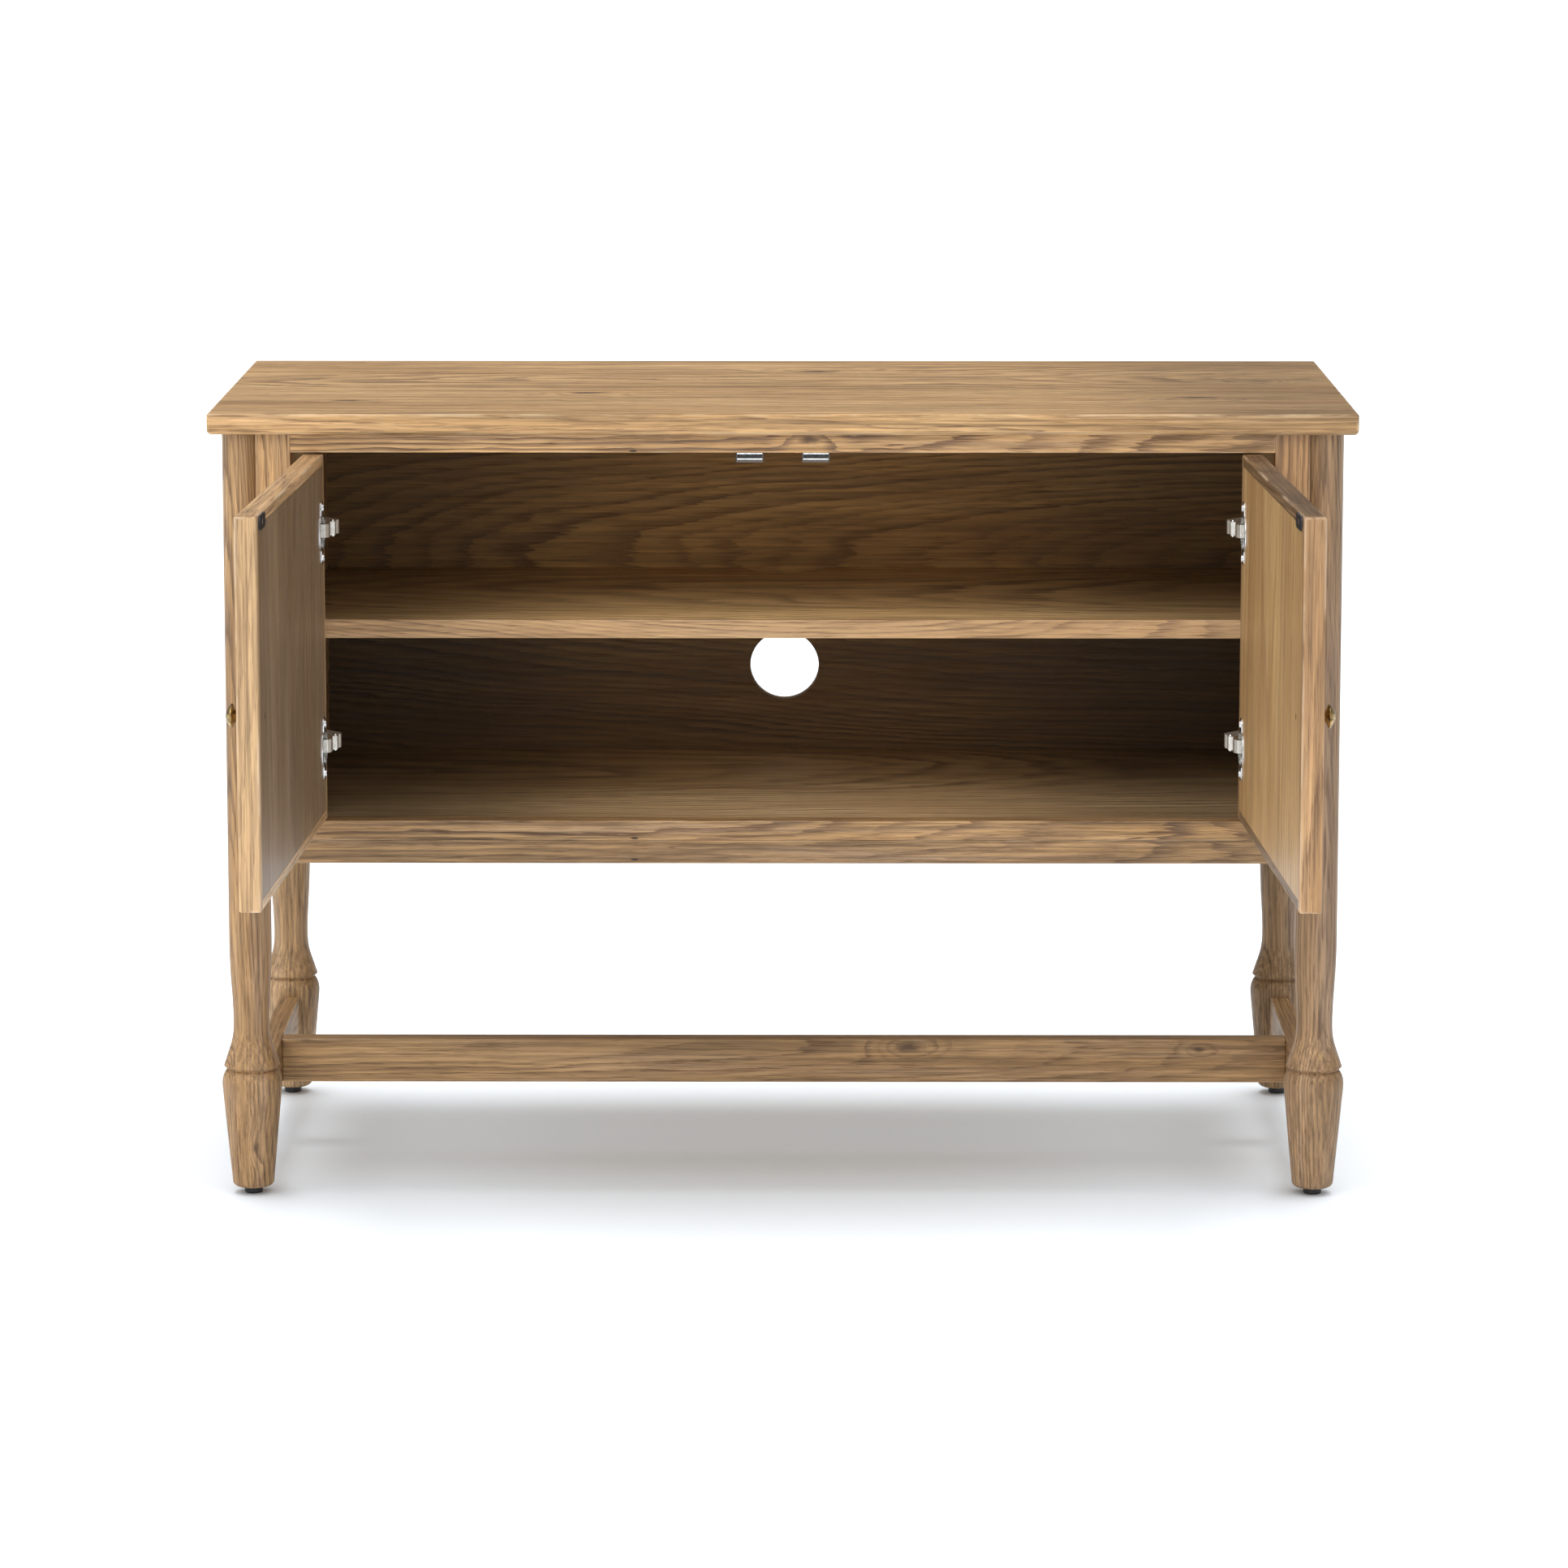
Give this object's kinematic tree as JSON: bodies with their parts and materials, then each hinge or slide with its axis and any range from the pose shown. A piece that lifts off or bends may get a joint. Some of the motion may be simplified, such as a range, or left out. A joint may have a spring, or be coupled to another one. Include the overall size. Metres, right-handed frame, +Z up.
{
  "type": "media cabinet",
  "caption": "Low two-door media cabinet with an adjustable shelf and a rear cable port, standing on turned full-height posts tied by stretchers.",
  "frame": {"origin": "on the floor, under the middle of the top", "axes": "+X to the viewer's right along the front, +Y from the front to the back, +Z up"},
  "size_m": [1.09, 0.9427, 0.762],
  "materials": {
    "oak_top": "waxed, brushed grain",
    "oak_posts": "waxed, turned",
    "oak_carcass": "waxed, brushed grain",
    "oak_inside": "dark stain, waxed",
    "oak_doors": "waxed",
    "oak_edges": "waxed, worn arrises",
    "beech_dowels": "raw",
    "nickel_plate": "satin nickel",
    "bright_plate": "bright",
    "antique_brass": "darkened antique",
    "black_plate": "black, satin",
    "screw_steel": "zinc plated",
    "ferrite": "dull black ceramic magnet",
    "catch_plastic": "grey-brown, satin",
    "glide_plastic": "black, satin"
  },
  "bodies": {
    "cabinet": {"top_panel": "oak_top", "post_front_left": "oak_posts", "post_front_right": "oak_posts", "post_rear_left": "oak_posts", "post_rear_right": "oak_posts", "foot_glides": "glide_plastic", "glide_nails": "screw_steel", "long_stretcher": "oak_carcass", "side_stretcher_left": "oak_carcass", "side_stretcher_right": "oak_carcass", "side_panel_left": "oak_carcass", "side_panel_right": "oak_carcass", "stile_left": "oak_carcass", "stile_right": "oak_carcass", "floor_panel": "oak_inside", "ceiling_panel": "oak_inside", "floor_lipping": "oak_carcass", "ceiling_lipping": "oak_carcass", "lower_rail_front": "oak_carcass", "lower_rail_rear": "oak_carcass", "back_panel": "oak_inside", "carcass_dowels": "beech_dowels", "post_dowels": "beech_dowels", "top_screws": "screw_steel", "shelf": "oak_inside", "shelf_lipping": "oak_edges", "shelf_pins": "nickel_plate", "catch_housings": "catch_plastic", "catch_magnets": "ferrite", "catch_poles": "screw_steel", "catch_screws": "screw_steel", "hinge_bases": "nickel_plate", "hinge_base_screws": "screw_steel", "hinge_arms": "nickel_plate", "hinge_arm_screws": "screw_steel", "hinge_nose_pins": "bright_plate"},
    "door_left": {"door_core_left": "oak_doors", "door_lipping_left": "oak_edges", "hinge_cups_left": "bright_plate", "hinge_cup_screws_left": "bright_plate", "hinge_links_left": "nickel_plate", "hinge_link_pins_left": "screw_steel", "knob_left": "antique_brass", "knob_screw_left": "screw_steel", "strike_plate_left": "black_plate", "strike_screw_left": "screw_steel"},
    "door_right": {"door_core_right": "oak_doors", "door_lipping_right": "oak_edges", "hinge_cups_right": "bright_plate", "hinge_cup_screws_right": "bright_plate", "hinge_links_right": "nickel_plate", "hinge_link_pins_right": "screw_steel", "knob_right": "antique_brass", "knob_screw_right": "screw_steel", "strike_plate_right": "black_plate", "strike_screw_right": "screw_steel"}
  },
  "joints": [
    {"name": "door_left_hinge", "type": "hinge", "parent": "cabinet", "child": "door_left", "pos_m": [-0.458, -0.238, 0.5465], "axis": [0, 0, -1], "range_deg": [-92.5, 12.5]},
    {"name": "door_right_hinge", "type": "hinge", "parent": "cabinet", "child": "door_right", "pos_m": [0.458, -0.238, 0.5465], "axis": [0, 0, 1], "range_deg": [-92.5, 12.5]}
  ]
}
